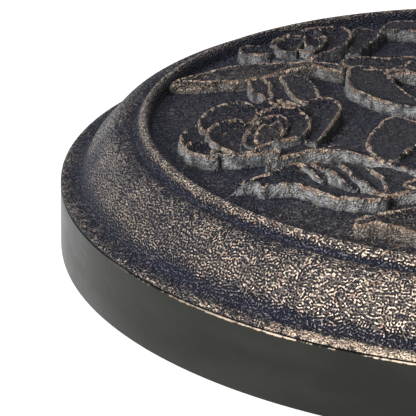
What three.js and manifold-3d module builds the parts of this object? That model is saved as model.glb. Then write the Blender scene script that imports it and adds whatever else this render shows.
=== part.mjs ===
// Weighted round garden parasol base with a cast rose relief.
// Millimetres, +Z up. The origin is on the ground, on the axis of the disc and of the pole socket.
// The clamp knob points along +X.
import * as THREE from "three";
import { mergeVertices } from "three/addons/utils/BufferGeometryUtils.js";
import Module from "manifold-3d";

const wasm = await Module();
wasm.setup();

// ---- Driving dimensions ----
const DISC_R = 225; // outer radius of the side band
const FOOT_H = 4; // the feet hold the pan this far off the ground
const BAND_H = 32.7; // plain side band, from the pan's lower edge to the lip
const FIELD_RISE = 54.5; // sunk field above the pan's lower edge
const RELIEF_H = 6.6; // tallest petal above the field
const WALL = 4; // moulded wall of the cover and of the pan
const GAP = 0.3; // space left between pieces that touch
const SEAM_BELOW_LIP = 1.2; // the cover and the pan meet this far under the lip

const POLE_BORE_R = 20; // tube for a 38 mm pole
const TUBE_R = 22;
const TUBE_H = 285;
const BUSH_BORE_R = 16.4; // reducer for a 32 mm pole
const BUSH_LENGTH = 60;
const CLAMP_BELOW_TOP = 82; // clamp screw axis below the tube's upper end
const STUD_R = 5;
const CLAMP_TRAVEL = 9; // how far the clamp screw feeds into the socket

const BOLT_CIRCLE_R = 31.5;
const BOLT_COUNT = 4;
const BOLT_R = 4;
const BOLT_HEAD_R = 8;
const BOLT_HEAD_H = 4;
const FOOT_COUNT = 6;
const FOOT_CIRCLE_R = 180;
const FOOT_R = 14;
const FOOT_STEM_R = 3;
const PAN_SCREW_CIRCLE_R = 200;
const SCREW_R = 2;
const BOSS_R = 5.5; // bosses under the cover that take the pan screws
const CORE_R = 193.5;
const REPEATS = [0, 132, 237]; // the relief is cast three times round the disc, turned by these degrees

const DISC_SEGMENTS = 56;
const CORE_SEGMENTS = 40;
const TUBE_SEGMENTS = 32;
const SMALL_SEGMENTS = 12;

// ---- Levels that follow from them ----
const SEAM_Z = FOOT_H + BAND_H - SEAM_BELOW_LIP;
const FIELD_Z = FOOT_H + FIELD_RISE;
const CEILING_Z = FIELD_Z - WALL;
const FLOOR_Z = FOOT_H + 3; // top of the pan's floor
const CORE_Z = FLOOR_Z + GAP;
const PLATE_Z = FIELD_Z + GAP;
const PLATE_T = 4;
const TUBE_TOP = PLATE_Z + TUBE_H;
const CLAMP_Z = TUBE_TOP - CLAMP_BELOW_TOP;

// ---- Materials ----
const finish = (color, roughness, metalness) =>
  new THREE.MeshStandardMaterial({ color, roughness, metalness });
const FINISH = {
  bronze: finish(0x2f2c33, 0.5, 0.35),
  band: finish(0x3b3936, 0.4, 0.25),
  concrete: finish(0x8f8c86, 0.95, 0),
  tube: finish(0x2b2a2e, 0.42, 0.6),
  zinc: finish(0xb9bcc0, 0.35, 0.9),
  knob: finish(0x1b1b1c, 0.55, 0),
  rubber: finish(0x161616, 0.9, 0),
  nylon: finish(0xd8d4c8, 0.6, 0),
};

const group = new THREE.Group();

function place(name, geometry, material, x = 0, y = 0, z = 0) {
  const mesh = new THREE.Mesh(geometry, material);
  mesh.name = name;
  mesh.position.set(x, y, z);
  group.add(mesh);
  return mesh;
}

// ---- Shape helpers ----
// A profile of [radius, height] pairs turned about Z. A profile clear of the axis makes a closed ring.
function turned(profile, segments) {
  const points = profile.map(([r, z]) => new THREE.Vector2(r, z));
  const ring = profile[0][0] > 0 || profile.at(-1)[0] > 0;
  if (ring) points.push(points[0].clone());
  return new THREE.LatheGeometry(points, segments).rotateX(Math.PI / 2);
}

const rod = (r, z0, z1, segments) =>
  new THREE.CylinderGeometry(r, r, z1 - z0, segments).rotateX(Math.PI / 2).translate(0, 0, (z0 + z1) / 2);

const rodX = (r, x0, x1, segments) =>
  new THREE.CylinderGeometry(r, r, x1 - x0, segments).rotateZ(Math.PI / 2).translate((x0 + x1) / 2, 0, 0);

const ring = (inner, outer, z0, z1, segments) =>
  turned([[inner, z0], [outer, z0], [outer, z1], [inner, z1]], segments);

// Points of a smooth curve through the given [radius, height] pairs.
function smooth(pairs, steps) {
  const curve = new THREE.SplineCurve(pairs.map(([x, y]) => new THREE.Vector2(x, y)));
  return curve.getPoints(steps).map((p) => [p.x, p.y]);
}

// count places evenly spaced on a circle, as [x, y, angle].
function around(count, radius, start = 0) {
  return Array.from({ length: count }, (_, i) => {
    const angle = start + (i * 2 * Math.PI) / count;
    return [radius * Math.cos(angle), radius * Math.sin(angle), angle];
  });
}

// ---- Joining and cutting ----
function toSolid(geometry) {
  const bare = geometry.clone();
  bare.deleteAttribute("normal");
  bare.deleteAttribute("uv");
  const merged = mergeVertices(bare, 1e-3);
  return new wasm.Manifold(
    new wasm.Mesh({
      numProp: 3,
      vertProperties: merged.attributes.position.array,
      triVerts: new Uint32Array(merged.index.array),
    }),
  );
}

function toGeometry(solid) {
  const mesh = solid.getMesh();
  const geometry = new THREE.BufferGeometry();
  geometry.setAttribute("position", new THREE.BufferAttribute(mesh.vertProperties, 3));
  geometry.setIndex(new THREE.BufferAttribute(mesh.triVerts, 1));
  geometry.computeVertexNormals();
  return geometry;
}

const joined = (base, extras) => extras.reduce((sum, extra) => sum.add(toSolid(extra)), base);
const bored = (base, cutters) => cutters.reduce((rest, cutter) => rest.subtract(toSolid(cutter)), base);

// ---- Relief outlines, in fractions of the disc radius ----
// Each tier is [share of RELIEF_H, outline]. A rose's tiers are set out from its heart.
const ROSE_A_HEART = [-0.56, -0.04];
const ROSE_A = [
  [0.6, [[-0.048, 0.154], [-0.113, 0.145], [-0.146, 0.031], [-0.182, -0.069], [-0.172, -0.131],
    [-0.163, -0.175], [-0.121, -0.2], [-0.009, -0.165], [0.087, -0.11], [0.129, -0.05], [0.14, 0.04],
    [0.156, 0.125], [0.118, 0.185], [0.06, 0.14], [0.01, 0.179]]],
  [0.85, [[-0.048, 0.154], [-0.113, 0.11], [-0.146, 0.031], [-0.132, -0.038], [-0.1, 0.03],
    [-0.065, 0.085]]],
  [0.85, [[-0.113, -0.158], [-0.109, -0.185], [-0.04, -0.181], [0.01, -0.15], [-0.05, -0.155]]],
  [0.9, [[0.064, 0.123], [0.118, 0.185], [0.156, 0.142], [0.137, 0.073], [0.11, -0.015], [0.087, -0.077],
    [0.078, -0.03], [0.092, 0.05]]],
  [0.93, [[-0.021, 0.077], [0.029, 0.121], [0.077, 0.073], [0.083, -0.023], [0.029, -0.092],
    [-0.03, -0.115], [-0.055, -0.05], [-0.045, 0.02]]],
  [1, [[0.029, 0.054], [-0.017, 0.035], [-0.036, -0.027], [-0.025, -0.07], [0.02, -0.06], [0.045, 0]]],
];

const ROSE_B_HEART = [-0.46, 0.545];
const ROSE_B = [
  [0.6, [[-0.085, 0.01], [-0.138, -0.025], [-0.158, -0.065], [-0.135, -0.101], [-0.092, -0.09],
    [-0.05, -0.08], [0.01, -0.1], [0.069, -0.04], [0.101, 0.037], [0.096, 0.1], [0.06, 0.123],
    [-0.027, 0.067]]],
  [0.9, [[-0.138, -0.025], [-0.158, -0.065], [-0.135, -0.101], [-0.092, -0.09], [-0.085, -0.055],
    [-0.1, -0.01]]],
  [0.92, [[0.025, 0.11], [0.06, 0.123], [0.096, 0.1], [0.101, 0.037], [0.069, -0.04], [0.024, -0.093],
    [-0.006, -0.09], [0.04, -0.02], [0.055, 0.04]]],
  [0.93, [[-0.058, 0.03], [-0.074, -0.035], [-0.052, -0.082], [-0.03, -0.075], [-0.005, 0.033],
    [-0.03, 0.053]]],
  [1, [[-0.008, 0.015], [0.013, -0.045], [0.042, 0.015], [0.035, 0.06], [0.005, 0.05]]],
];

// Leaves are set out from the axis of the disc.
const LEAVES = [
  [0.8, [[-0.64, -0.391], [-0.6, -0.374], [-0.527, -0.285], [-0.5, -0.275], [-0.43, -0.34],
    [-0.335, -0.42], [-0.34, -0.465], [-0.42, -0.455], [-0.504, -0.393], [-0.569, -0.395]]],
  [0.85, [[-0.515, -0.272], [-0.425, -0.25], [-0.34, -0.28], [-0.23, -0.32], [-0.155, -0.385],
    [-0.2, -0.415], [-0.3, -0.415], [-0.4, -0.37], [-0.46, -0.325]]],
  [0.75, [[-0.565, -0.256], [-0.515, -0.221], [-0.465, -0.191], [-0.411, -0.192], [-0.361, -0.227],
    [-0.311, -0.273], [-0.24, -0.31], [-0.18, -0.27], [-0.3, -0.16], [-0.42, -0.12], [-0.48, -0.165]]],
  [0.9, [[-0.335, -0.222], [-0.356, -0.135], [-0.33, -0.03], [-0.3, 0.02], [-0.235, -0.01], [-0.205, -0.08],
    [-0.262, -0.16], [-0.3, -0.235]]],
  [0.9, [[-0.772, 0.24], [-0.714, 0.283], [-0.62, 0.358], [-0.5, 0.39], [-0.405, 0.385], [-0.392, 0.33],
    [-0.464, 0.36], [-0.54, 0.31], [-0.62, 0.262], [-0.725, 0.24]]],
  [0.75, [[-0.597, 0.262], [-0.588, 0.19], [-0.55, 0.13], [-0.46, 0.135], [-0.452, 0.2], [-0.47, 0.273],
    [-0.53, 0.305]]],
  [0.75, [[-0.383, 0.425], [-0.31, 0.437], [-0.2, 0.445], [-0.19, 0.385], [-0.26, 0.358], [-0.34, 0.365]]],
  [0.85, [[-0.37, 0.36], [-0.378, 0.255], [-0.347, 0.173], [-0.284, 0.109], [-0.22, 0.1], [-0.255, 0.21],
    [-0.285, 0.33], [-0.33, 0.37]]],
  [0.8, [[-0.287, 0.31], [-0.241, 0.323], [-0.155, 0.28], [-0.125, 0.33], [-0.16, 0.382], [-0.23, 0.4]]],
];
// Leaves that not every repeat has room for: a pair in the first, one large leaf in the first two.
const LEAVES_BY_ROSE_B = [
  [0.85, [[-0.348, 0.645], [-0.31, 0.64], [-0.293, 0.605], [-0.323, 0.536], [-0.347, 0.485],
    [-0.357, 0.56]]],
  [0.85, [[-0.286, 0.645], [-0.245, 0.646], [-0.15, 0.622], [-0.105, 0.645], [-0.13, 0.695], [-0.2, 0.73],
    [-0.26, 0.71]]],
];
const LARGE_LEAF = [0.8, [[-0.404, -0.585], [-0.388, -0.561], [-0.33, -0.525], [-0.23, -0.503],
  [-0.172, -0.535], [-0.175, -0.6], [-0.25, -0.667], [-0.295, -0.64], [-0.335, -0.603], [-0.372, -0.59]]];

const RELIEF_ROOT = 1.5; // petals and leaves start this far inside the cover's wall

function raised([share, outline], [x0, y0] = [0, 0]) {
  const shape = new THREE.Shape();
  const points = outline.map(([x, y]) => new THREE.Vector2((x0 + x) * DISC_R, (y0 + y) * DISC_R));
  shape.moveTo(points[0].x, points[0].y);
  shape.splineThru([...points.slice(1), points[0]]);
  const depth = RELIEF_ROOT + share * RELIEF_H;
  const geometry = new THREE.ExtrudeGeometry(shape, { depth, bevelEnabled: false, curveSegments: 1 });
  return geometry.translate(0, 0, FIELD_Z - RELIEF_ROOT);
}

function reliefShapes() {
  const extraLeaves = [[...LEAVES_BY_ROSE_B, LARGE_LEAF], [LARGE_LEAF], []];
  return REPEATS.flatMap((degrees, i) => {
    const shapes = [
      ...[...LEAVES, ...extraLeaves[i]].map((tier) => raised(tier)),
      ...ROSE_A.map((tier) => raised(tier, ROSE_A_HEART)),
      ...ROSE_B.map((tier) => raised(tier, ROSE_B_HEART)),
    ];
    return shapes.map((shape) => shape.rotateZ(THREE.MathUtils.degToRad(degrees)));
  });
}

// ---- Cast shell and weight ----
const bolts = around(BOLT_COUNT, BOLT_CIRCLE_R, Math.PI / BOLT_COUNT);
const panScrews = around(FOOT_COUNT, PAN_SCREW_CIRCLE_R, Math.PI / 6);
const feet = around(FOOT_COUNT, FOOT_CIRCLE_R);
const rodsAt = (places, r, z0, z1) =>
  places.map(([x, y]) => rod(r, z0, z1, SMALL_SEGMENTS).translate(x, y, 0));

function reliefCover() {
  const lip = FOOT_H + BAND_H;
  // Lip, hollow cove, sloping shoulder, flat groove and bead, from the edge inwards.
  const moulding = smooth(
    [[DISC_R - 1.5, lip + 0.7], [218, lip + 1.1], [214.5, lip + 3.2], [211.5, lip + 9.2],
      [207, lip + 14.7], [202.5, lip + 20], [199, lip + 22.8], [194, lip + 24], [190.5, lip + 23.8],
      [188.4, lip + 26], [185.4, lip + 29], [182.8, lip + 26.5], [181.5, lip + 22.5], [179, FIELD_Z]],
    20,
  );
  const outside = [[DISC_R, SEAM_Z + GAP], [DISC_R, lip], ...moulding, [0, FIELD_Z]];
  const skirtR = DISC_R - WALL - GAP;
  const ribR = skirtR - 3.5; // inner face of the skirt that drops inside the pan's wall
  const inside = [[0, CEILING_Z], [174, CEILING_Z], [184, CEILING_Z + 5], [198, CEILING_Z + 3],
    [211, lip + 2], [ribR, lip - 2], [ribR, SEAM_Z - 6], [skirtR, SEAM_Z - 6], [skirtR, SEAM_Z + GAP]];
  const shell = toSolid(turned([...inside, ...outside], DISC_SEGMENTS));
  const bosses = rodsAt(panScrews, BOSS_R, CORE_Z, FIELD_Z - 10);
  const pilots = rodsAt(panScrews, SCREW_R + GAP, FLOOR_Z, FLOOR_Z + 17);
  const boltHoles = rodsAt(bolts, BOLT_R + 0.5, CEILING_Z - 1, FIELD_Z + 1);
  return toGeometry(bored(joined(joined(shell, reliefShapes()), bosses), [...pilots, ...boltHoles]));
}

function basePan() {
  const innerR = DISC_R - WALL;
  const shell = toSolid(
    turned([[0, FOOT_H], [DISC_R - 1.5, FOOT_H], [DISC_R, FOOT_H + 1.5], [DISC_R, SEAM_Z], [innerR, SEAM_Z],
      [innerR, FLOOR_Z], [0, FLOOR_Z]], DISC_SEGMENTS),
  );
  return toGeometry(
    bored(shell, [
      ...rodsAt(panScrews, SCREW_R + 0.5, FOOT_H - 1, FLOOR_Z + 1),
      ...rodsAt(feet, FOOT_STEM_R + 0.4, FOOT_H - 1, FLOOR_Z + 1),
    ]),
  );
}

// The concrete disc, with sunk pockets for the bolt heads and for the ends of the feet.
function weightCore() {
  const top = CEILING_Z - GAP;
  const disc = toSolid(
    turned([[0, CORE_Z], [CORE_R, CORE_Z], [CORE_R, top - 3], [CORE_R - 21, top], [0, top]], CORE_SEGMENTS),
  );
  return toGeometry(
    bored(disc, [
      ...rodsAt(bolts, BOLT_R + 0.7, CORE_Z, top + 1),
      ...rodsAt(bolts, BOLT_HEAD_R + 0.5, CORE_Z - 1, CORE_Z + BOLT_HEAD_H + GAP),
      ...rodsAt(feet, FOOT_STEM_R + 2.5, CORE_Z - 1, CORE_Z + 6),
    ]),
  );
}

place("relief_cover", reliefCover(), FINISH.bronze);
place("base_pan", basePan(), FINISH.band);
place("weight_core", weightCore(), FINISH.concrete);

// ---- Pole socket ----
const plateTop = PLATE_Z + PLATE_T;

function tubeFlange() {
  const plate = toSolid(ring(TUBE_R + GAP, 40, PLATE_Z, plateTop, TUBE_SEGMENTS));
  return toGeometry(bored(plate, rodsAt(bolts, BOLT_R + 0.5, PLATE_Z - 1, plateTop + 1)));
}

function socketTube() {
  const tube = toSolid(ring(POLE_BORE_R, TUBE_R, PLATE_Z, TUBE_TOP, TUBE_SEGMENTS));
  const clampHole = rodX(STUD_R + 0.6, POLE_BORE_R - 5, TUBE_R + 5, 16).translate(0, 0, CLAMP_Z);
  return toGeometry(bored(tube, [clampHole]));
}

function collarCover() {
  const skin = 1.8;
  const r = 42.5;
  const dome = smooth([[42.2, 13.5], [39.5, 18], [33, 20.6], [27.5, 22], [25, 24.5]], 5);
  const outer = [[r, 0], [r, 12], ...dome, [24.6, 27], [TUBE_R + GAP, 27]];
  const inner = [[TUBE_R + GAP, 20.6], [33, 18.6], [38.7, 16], [r - skin, 12], [r - skin, 0]];
  return turned([...inner, ...outer], TUBE_SEGMENTS).translate(0, 0, PLATE_Z);
}

// Cap ring on the tube's sawn end.
const rimCap = turned(
  [[POLE_BORE_R, GAP], [TUBE_R + GAP, GAP], [TUBE_R + GAP, -10], [24.6, -10], [24.6, 2], [23.6, 3],
    [POLE_BORE_R, 3]],
  TUBE_SEGMENTS,
).translate(0, 0, TUBE_TOP);

place("socket_tube", socketTube(), FINISH.tube);
place("tube_flange", tubeFlange(), FINISH.tube);
place("collar_cover", collarCover(), FINISH.bronze);
place("tube_rim_cap", rimCap, FINISH.knob);

// Reducer bush for a thinner pole: a sleeve that drops into the tube and hangs by its collar.
const bushR = POLE_BORE_R - 0.4;
const reducer = turned(
  [[BUSH_BORE_R, -BUSH_LENGTH], [bushR - 1, -BUSH_LENGTH], [bushR, 2 - BUSH_LENGTH], [bushR, 0],
    [23.4, 0], [23.4, 2], [22.4, 3], [BUSH_BORE_R + 0.8, 3], [BUSH_BORE_R, 2.2]],
  TUBE_SEGMENTS,
).translate(0, 0, TUBE_TOP + 3 + GAP);
place("reducer_bush", reducer, FINISH.knob);

// ---- Clamp screw ----
const BOSS_END = 33;
const padTip = POLE_BORE_R + 0.4;
const padEnd = padTip + 3.2;
const knobFace = BOSS_END + CLAMP_TRAVEL + 1.5;
const BOSS_END_R = 9.5; // weld boss, and the knob's hub that faces it
const KNOB_R = 21; // over the lobes
const LOBE_DEPTH = 4.8;
const KNOB_DEPTH = 21; // hub and head
const KNOB_HEAD = 13;
const STUD_IN_KNOB = 12;

function clampBoss() {
  const blank = toSolid(rodX(BOSS_END_R, TUBE_R - 4, BOSS_END, 20));
  const saddle = rod(TUBE_R + GAP, -20, 20, TUBE_SEGMENTS);
  return toGeometry(bored(blank, [saddle, rodX(STUD_R + GAP, 0, BOSS_END + 5, 16)]));
}

function knobHead() {
  const lobes = 6;
  const outline = new THREE.Shape();
  const steps = lobes * 6;
  const rim = Array.from({ length: steps + 1 }, (_, i) => {
    const angle = (i * 2 * Math.PI) / steps;
    const r = KNOB_R - LOBE_DEPTH / 2 + (LOBE_DEPTH / 2) * Math.cos(lobes * angle);
    return new THREE.Vector2(r * Math.cos(angle), r * Math.sin(angle));
  });
  outline.setFromPoints(rim);
  const bevel = 2;
  const head = new THREE.ExtrudeGeometry(outline, {
    depth: KNOB_HEAD - 2 * bevel,
    bevelThickness: bevel,
    bevelSize: bevel,
    bevelOffset: -bevel,
    bevelSegments: 2,
    curveSegments: 1,
  })
    .translate(0, 0, bevel)
    .rotateY(Math.PI / 2)
    .translate(knobFace + KNOB_DEPTH - KNOB_HEAD, 0, 0);
  const hub = rodX(BOSS_END_R, knobFace, knobFace + KNOB_DEPTH - KNOB_HEAD + 1, 20);
  const socket = rodX(STUD_R + GAP, knobFace - 1, knobFace + STUD_IN_KNOB + GAP, 16);
  return toGeometry(bored(joined(toSolid(head), [hub]), [socket]));
}

place("clamp_boss", clampBoss(), FINISH.tube, 0, 0, CLAMP_Z);
place("pressure_pad", rodX(STUD_R - 0.6, padTip, padEnd, 16), FINISH.nylon, 0, 0, CLAMP_Z);
place("clamp_stud", rodX(STUD_R, padEnd + GAP, knobFace + STUD_IN_KNOB, 16), FINISH.zinc, 0, 0, CLAMP_Z);
place("knob_head", knobHead(), FINISH.knob, 0, 0, CLAMP_Z);

// ---- Flange bolts, nuts and washers ----
const boltHeadTop = CORE_Z + BOLT_HEAD_H;
const boltProfile = [[0, CORE_Z], [BOLT_HEAD_R - 1, CORE_Z], [BOLT_HEAD_R, CORE_Z + 1],
  [BOLT_HEAD_R, boltHeadTop], [BOLT_R, boltHeadTop], [BOLT_R, plateTop + 10.6],
  [BOLT_R - 0.8, plateTop + 11.4], [0, plateTop + 11.4]];
const washerZ = plateTop + GAP;
const washerTop = washerZ + 1.6;
const washer = ring(BOLT_R + GAP, 7.8, washerZ, washerTop, SMALL_SEGMENTS);
const nutOutline = new THREE.Shape(around(6, 7.4).map(([x, y]) => new THREE.Vector2(x, y)));
nutOutline.holes.push(new THREE.Path().absarc(0, 0, BOLT_R + GAP, 0, 2 * Math.PI));
const nut = new THREE.ExtrudeGeometry(nutOutline, {
  depth: 6.5,
  bevelEnabled: false,
  curveSegments: SMALL_SEGMENTS,
});
bolts.forEach(([x, y, angle], i) => {
  place(`flange_bolt_${i + 1}`, turned(boltProfile, SMALL_SEGMENTS), FINISH.zinc, x, y);
  place(`flange_washer_${i + 1}`, washer.clone(), FINISH.zinc, x, y);
  place(`flange_nut_${i + 1}`, nut.clone(), FINISH.zinc, x, y, washerTop + GAP).rotation.z = angle;
});

// ---- Feet and pan screws ----
const footTop = FOOT_H - GAP;
const footProfile = [[0, 0], [FOOT_R - 1.5, 0], [FOOT_R, 1.2], [FOOT_R, footTop], [FOOT_STEM_R, footTop],
  [FOOT_STEM_R, CORE_Z], [FOOT_STEM_R + 1.4, CORE_Z], [FOOT_STEM_R, CORE_Z + 4.7], [0, CORE_Z + 4.7]];
feet.forEach(([x, y], i) => {
  place(`rubber_foot_${i + 1}`, turned(footProfile, SMALL_SEGMENTS), FINISH.rubber, x, y);
});

const screwProfile = [[0, footTop - 2.4], [3, footTop - 2.2], [4, footTop - 1], [4, footTop],
  [SCREW_R, footTop], [SCREW_R, FLOOR_Z + 12], [0, FLOOR_Z + 14]];
panScrews.forEach(([x, y], i) => {
  place(`pan_screw_${i + 1}`, turned(screwProfile, 8), FINISH.zinc, x, y);
});

export default group;
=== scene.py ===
"""A round garden parasol base with a cast rose relief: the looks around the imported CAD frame."""

import math

import bpy
import numpy as np
from mathutils import Matrix, Vector


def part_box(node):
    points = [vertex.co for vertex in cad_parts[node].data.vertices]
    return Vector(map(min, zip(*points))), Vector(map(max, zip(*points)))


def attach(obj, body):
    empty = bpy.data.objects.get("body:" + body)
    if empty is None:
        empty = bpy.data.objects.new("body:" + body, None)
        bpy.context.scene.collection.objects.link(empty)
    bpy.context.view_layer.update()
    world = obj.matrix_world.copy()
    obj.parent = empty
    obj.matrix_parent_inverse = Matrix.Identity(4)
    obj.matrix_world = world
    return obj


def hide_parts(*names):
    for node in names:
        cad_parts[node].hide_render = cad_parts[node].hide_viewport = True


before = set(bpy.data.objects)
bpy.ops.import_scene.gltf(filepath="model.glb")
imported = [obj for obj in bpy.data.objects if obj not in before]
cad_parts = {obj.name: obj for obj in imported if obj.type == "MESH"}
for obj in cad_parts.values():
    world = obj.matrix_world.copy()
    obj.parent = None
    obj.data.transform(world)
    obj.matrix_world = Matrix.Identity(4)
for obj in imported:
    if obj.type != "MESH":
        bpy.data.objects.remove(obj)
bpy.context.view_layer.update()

MM = 0.001
TAU = 2 * math.pi

# Corners of the CAD nodes' boxes, which set the levels and radii here.
COVER_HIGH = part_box("relief_cover")[1]
PAN_LOW, PAN_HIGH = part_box("base_pan")
COLLAR_LOW, COLLAR_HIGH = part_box("collar_cover")
TUBE_LOW, TUBE_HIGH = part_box("socket_tube")
BUSH_LOW, BUSH_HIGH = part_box("reducer_bush")
CAP_LOW, CAP_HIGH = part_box("tube_rim_cap")
BOSS_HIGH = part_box("clamp_boss")[1]
PAD_LOW, PAD_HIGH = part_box("pressure_pad")
STUD_LOW, STUD_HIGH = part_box("clamp_stud")
KNOB_LOW, KNOB_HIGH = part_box("knob_head")
CORE_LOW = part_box("weight_core")[0]

DISC_R = COVER_HIGH.x
PAN_Z = PAN_LOW.z
SEAM_Z = PAN_HIGH.z
LIP_Z = SEAM_Z + 1.2 * MM
FIELD_Z = COLLAR_LOW.z - 0.3 * MM
RELIEF_H = 6.6 * MM
WALL = 4 * MM
CLAMP_Z = (STUD_LOW.z + STUD_HIGH.z) / 2
PAN_SCREWS, FEET, BOLTS = 6, 6, 4


def add_object(name, data):
    """A new object in the scene."""
    thing = bpy.data.objects.new(name, data)
    bpy.context.scene.collection.objects.link(thing)
    return thing


# ---- Camera and light ----
def make_camera():
    """A long lens 21 degrees above the disc, aimed left of its axis and turned a little about its line."""
    elevation, roll = math.radians(21.265), math.radians(0.8215)
    distance = 5.656 * DISC_R
    target = Vector((-0.68575 * DISC_R, 0.16452 * DISC_R, PAN_Z))
    forward = Vector((0, math.cos(elevation), -math.sin(elevation)))
    right = Vector((1, 0, 0))
    up = right.cross(forward)
    right, up = (
        math.cos(roll) * right + math.sin(roll) * up,
        math.cos(roll) * up - math.sin(roll) * right,
    )
    data = bpy.data.cameras.new("camera")
    data.sensor_width = 36
    data.lens = 220.76
    data.clip_start, data.clip_end = 0.05, 100
    camera = add_object("camera", data)
    matrix = Matrix((right, up, -forward)).transposed().to_4x4()
    matrix.translation = target - distance * forward
    camera.matrix_world = matrix
    bpy.context.scene.camera = camera


def add_area(name, place, target, size, power, colour):
    """A rectangular light aimed at the target, with its size in metres and its power in watts."""
    data = bpy.data.lights.new(name, "AREA")
    data.shape = "RECTANGLE"
    data.size, data.size_y = size
    data.energy = power
    data.color = colour
    lamp = add_object(name, data)
    lamp.location = place
    lamp.rotation_mode = "QUATERNION"
    lamp.rotation_quaternion = (Vector(target) - lamp.location).to_track_quat("-Z", "Y")


def make_light():
    """A dim white world, a warm box at the front left and a weaker, cooler one above."""
    world = bpy.data.worlds.new("studio")
    world.use_nodes = True
    background = world.node_tree.nodes["Background"]
    background.inputs["Color"].default_value = (1, 1, 1, 1)
    background.inputs["Strength"].default_value = 0.2
    bpy.context.scene.world = world
    disc = (-0.1, 0, 0.06)
    add_area("front_left_box", (-1.1, -1.5, 0.75), disc, (0.55, 0.4), 53, (1, 0.985, 0.96))
    add_area("top_box", (-0.5, 0.5, 1.6), disc, (0.8, 0.8), 14, (0.93, 0.96, 1))
    bpy.context.scene.view_settings.view_transform = "Standard"


# ---- Node trees ----
class Tree:
    """A material's node tree, with short calls for the nodes used here."""

    def __init__(self, name):
        self.material = bpy.data.materials.new(name)
        self.material.use_nodes = True
        self.nodes = self.material.node_tree.nodes
        self.links = self.material.node_tree.links
        self.shader = self.nodes["Principled BSDF"]
        self.place = self.nodes.new("ShaderNodeTexCoord").outputs["Object"]

    def _set(self, socket, value):
        if isinstance(value, bpy.types.NodeSocket):
            self.links.new(value, socket)
        else:
            socket.default_value = value

    def _add(self, kind, output, inputs, **settings):
        """A new node's output, with the node's inputs and settings set."""
        node = self.nodes.new(f"ShaderNode{kind}")
        for name, value in settings.items():
            setattr(node, name, value)
        for name, value in inputs.items():
            self._set(node.inputs[name], value)
        return node.outputs[output]

    def shade(self, **values):
        """Sets the shader's inputs, named with underscores for spaces."""
        for name, value in values.items():
            self._set(self.shader.inputs[name.replace("_", " ")], value)

    def math(self, operation, a, b, clamp=False):
        return self._add("Math", 0, {0: a, 1: b}, operation=operation, use_clamp=clamp)

    def add(self, a, b, clamp=False):
        return self.math("ADD", a, b, clamp)

    def times(self, a, b):
        return self.math("MULTIPLY", a, b)

    def most(self, a, b, clamp=False):
        return self.math("MAXIMUM", a, b, clamp)

    def ramp(self, value, low, high, to_low=0.0, to_high=1.0, smooth=False):
        """The value taken from low..high to to_low..to_high and held at the ends."""
        curve = "SMOOTHSTEP" if smooth else "LINEAR"
        inputs = {"From Min": low, "From Max": high, "To Min": to_low, "To Max": to_high, "Value": value}
        return self._add("MapRange", "Result", inputs, interpolation_type=curve)

    def step(self, value, low, high):
        """Nought below low, one above high, and smooth between."""
        return self.ramp(value, low, high, smooth=True)

    def wobble(self, noise, amount):
        """The noise moved to swing about nought, by this much each way."""
        return self.ramp(noise, 0.25, 0.75, -amount, amount)

    def mix(self, share, a, b):
        """Colour a where the share is nought, b where it is one. The node's colour sockets go by number."""
        return self._add("Mix", 2, {0: share, 6: a, 7: b}, data_type="RGBA")

    def front(self):
        """Nought at the back left of the disc, one at its front."""
        axes = self.nodes.new("ShaderNodeSeparateXYZ")
        self.links.new(self.place, axes.inputs[0])
        right, back = self.times(axes.outputs["X"], 0.5), self.times(axes.outputs["Y"], 0.87)
        return self.ramp(self.math("SUBTRACT", right, back), -DISC_R, 0.8 * DISC_R)

    def noise(self, size, detail=2.0, roughness=0.5, stretch=(1, 1, 1)):
        """Noise with lumps about this size in metres."""
        place = self._add("Mapping", "Vector", {"Vector": self.place, "Scale": stretch})
        inputs = {"Vector": place, "Scale": 1 / size, "Detail": detail, "Roughness": roughness}
        return self._add("TexNoise", "Fac", inputs)

    def worms(self, pitch):
        """Winding ridges, all about the same width, this far apart in metres."""
        per_cell = 2.0
        inputs = {"Scale": 1 / (per_cell * pitch), "Frequency": per_cell, "Anisotropy": 0.0}
        return self._add("TexGabor", "Value", {"Vector": self.place, **inputs}, gabor_type="3D")

    def mark(self, name):
        """One of the marks stored on the mesh's points."""
        return self._add("Attribute", "Fac", {}, attribute_name=name)

    def bump(self, height, distance):
        """A normal from heights of nought to one, this deep in metres."""
        return self._add("Bump", "Normal", {"Distance": distance, "Height": height})


def make_floor():
    """A wide pale floor that glows enough to stay white."""
    half = 30.0
    corners = [(-half, -half, 0), (half, -half, 0), (half, half, 0), (-half, half, 0)]
    mesh = bpy.data.meshes.new("floor")
    mesh.from_pydata(corners, [], [(0, 1, 2, 3)])
    t = Tree("pale_floor")
    t.shade(
        Base_Color=(0.4, 0.4, 0.4, 1),
        Roughness=0.9,
        Specular_IOR_Level=0.1,
        Emission_Color=(1, 1, 1, 1),
        Emission_Strength=0.85,
    )
    mesh.materials.append(t.material)
    add_object("floor", mesh)


# ---- Finishes ----
# Wrinkle paint: the dark between its ridges, a painted sheen on the ridges, what is brushed on them, and the
# relief's walls, whose grey is partly a painted highlight.
NAVY = (0.0028, 0.0038, 0.0135, 1)
CHARCOAL = (0.0045, 0.0050, 0.0125, 1)
CREST_SHEEN = (0.046, 0.046, 0.066, 1)
UMBER = (0.140, 0.118, 0.105, 1)
CREAM = (0.66, 0.53, 0.41, 1)
COPPER = (0.36, 0.235, 0.18, 1)
PALE_GOLD = (0.93, 0.76, 0.58, 1)
WALL_GREY_AND_SHEEN = (0.70, 0.705, 0.71, 1)
# The side band's two tones.
OLIVE = (0.0120, 0.0124, 0.0108, 1)
DUSTY_OLIVE = (0.0175, 0.0177, 0.0155, 1)


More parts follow.
